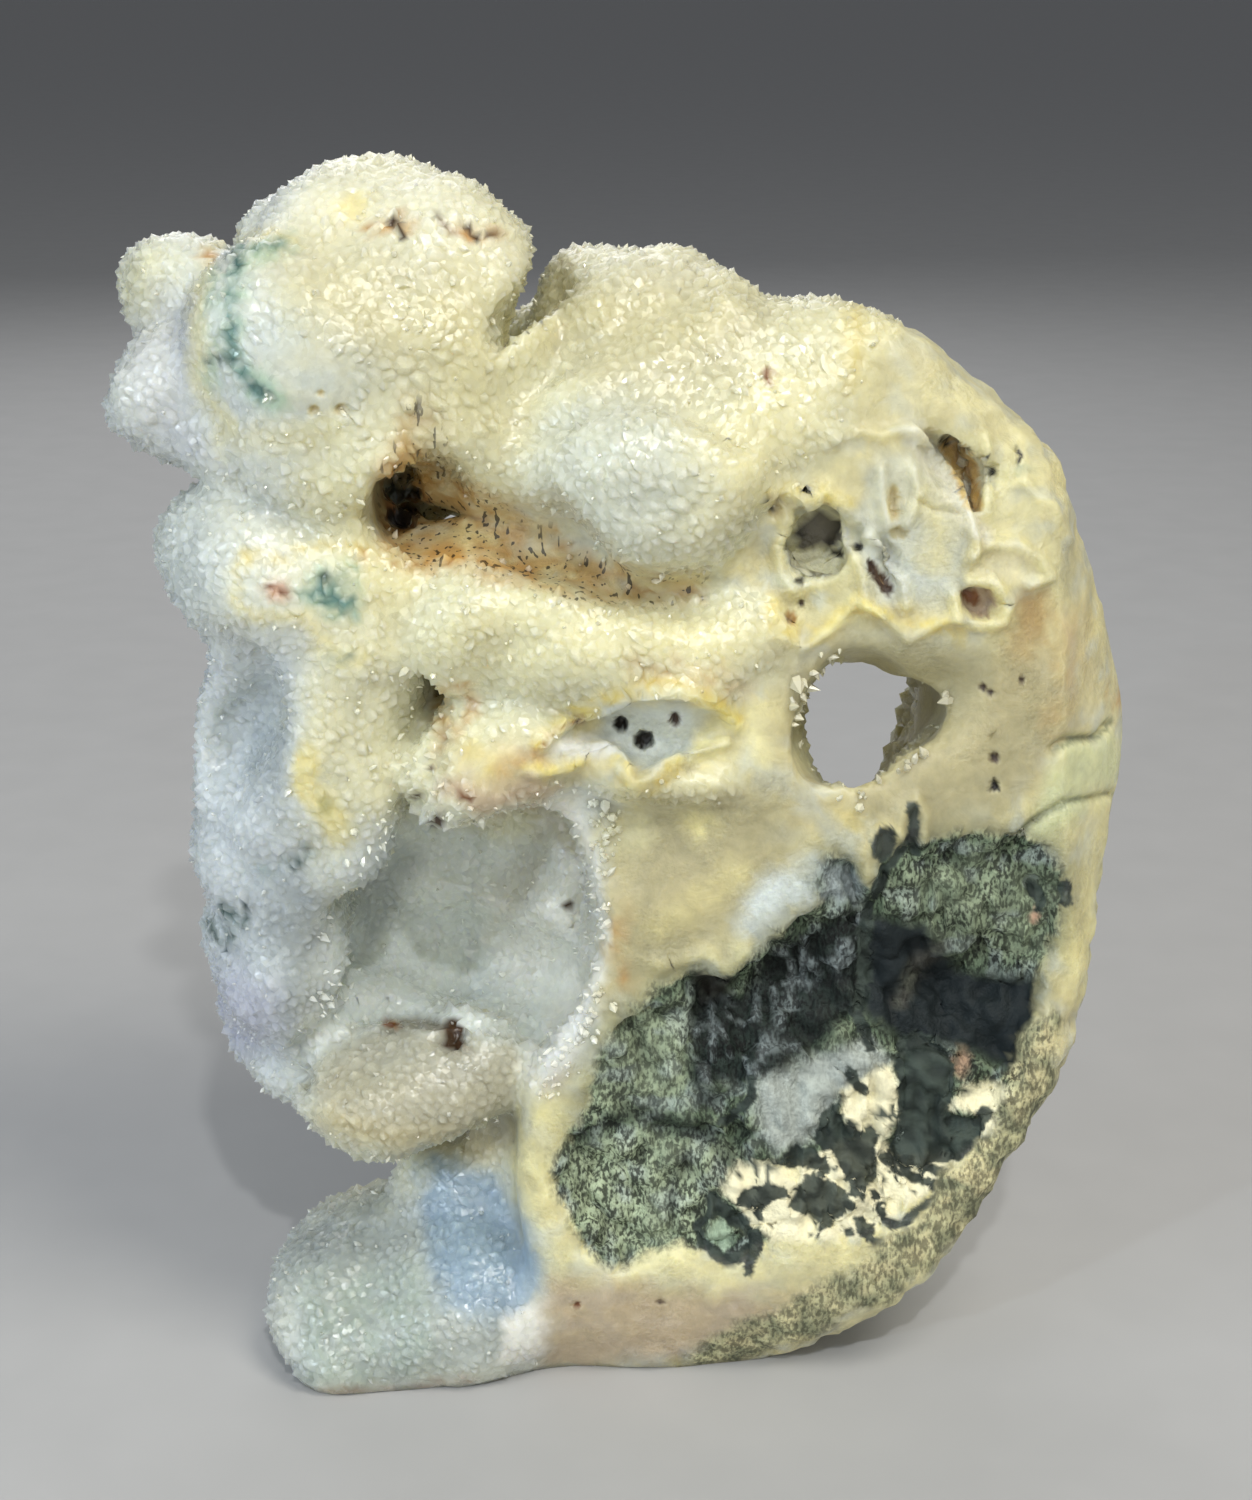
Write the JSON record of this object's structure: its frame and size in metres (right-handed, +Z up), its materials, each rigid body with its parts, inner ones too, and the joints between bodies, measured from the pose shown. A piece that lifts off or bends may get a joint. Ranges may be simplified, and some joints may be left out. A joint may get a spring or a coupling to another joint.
{
  "type": "drusy chalcedony specimen",
  "caption": "Upright drusy chalcedony stone with sugary quartz lumps, a side cavity, a through hole and a rough green recess, resting on a flat base.",
  "frame": {"origin": "centre of the stone's footprint box, on the plane it rests on", "axes": "+Z up as it stands, +X to the right seen from its waxy front face, +Y from the front face to the back"},
  "size_m": [0.0965, 0.0489, 0.1183],
  "materials": {
    "chalcedony": "translucent cream to blue-grey chalcedony: sugary quartz druse on the lumps, waxy on the front face, rough dark green in the lower recess"
  },
  "bodies": {
    "root": {"chalcedony": "chalcedony"}
  },
  "joints": []
}
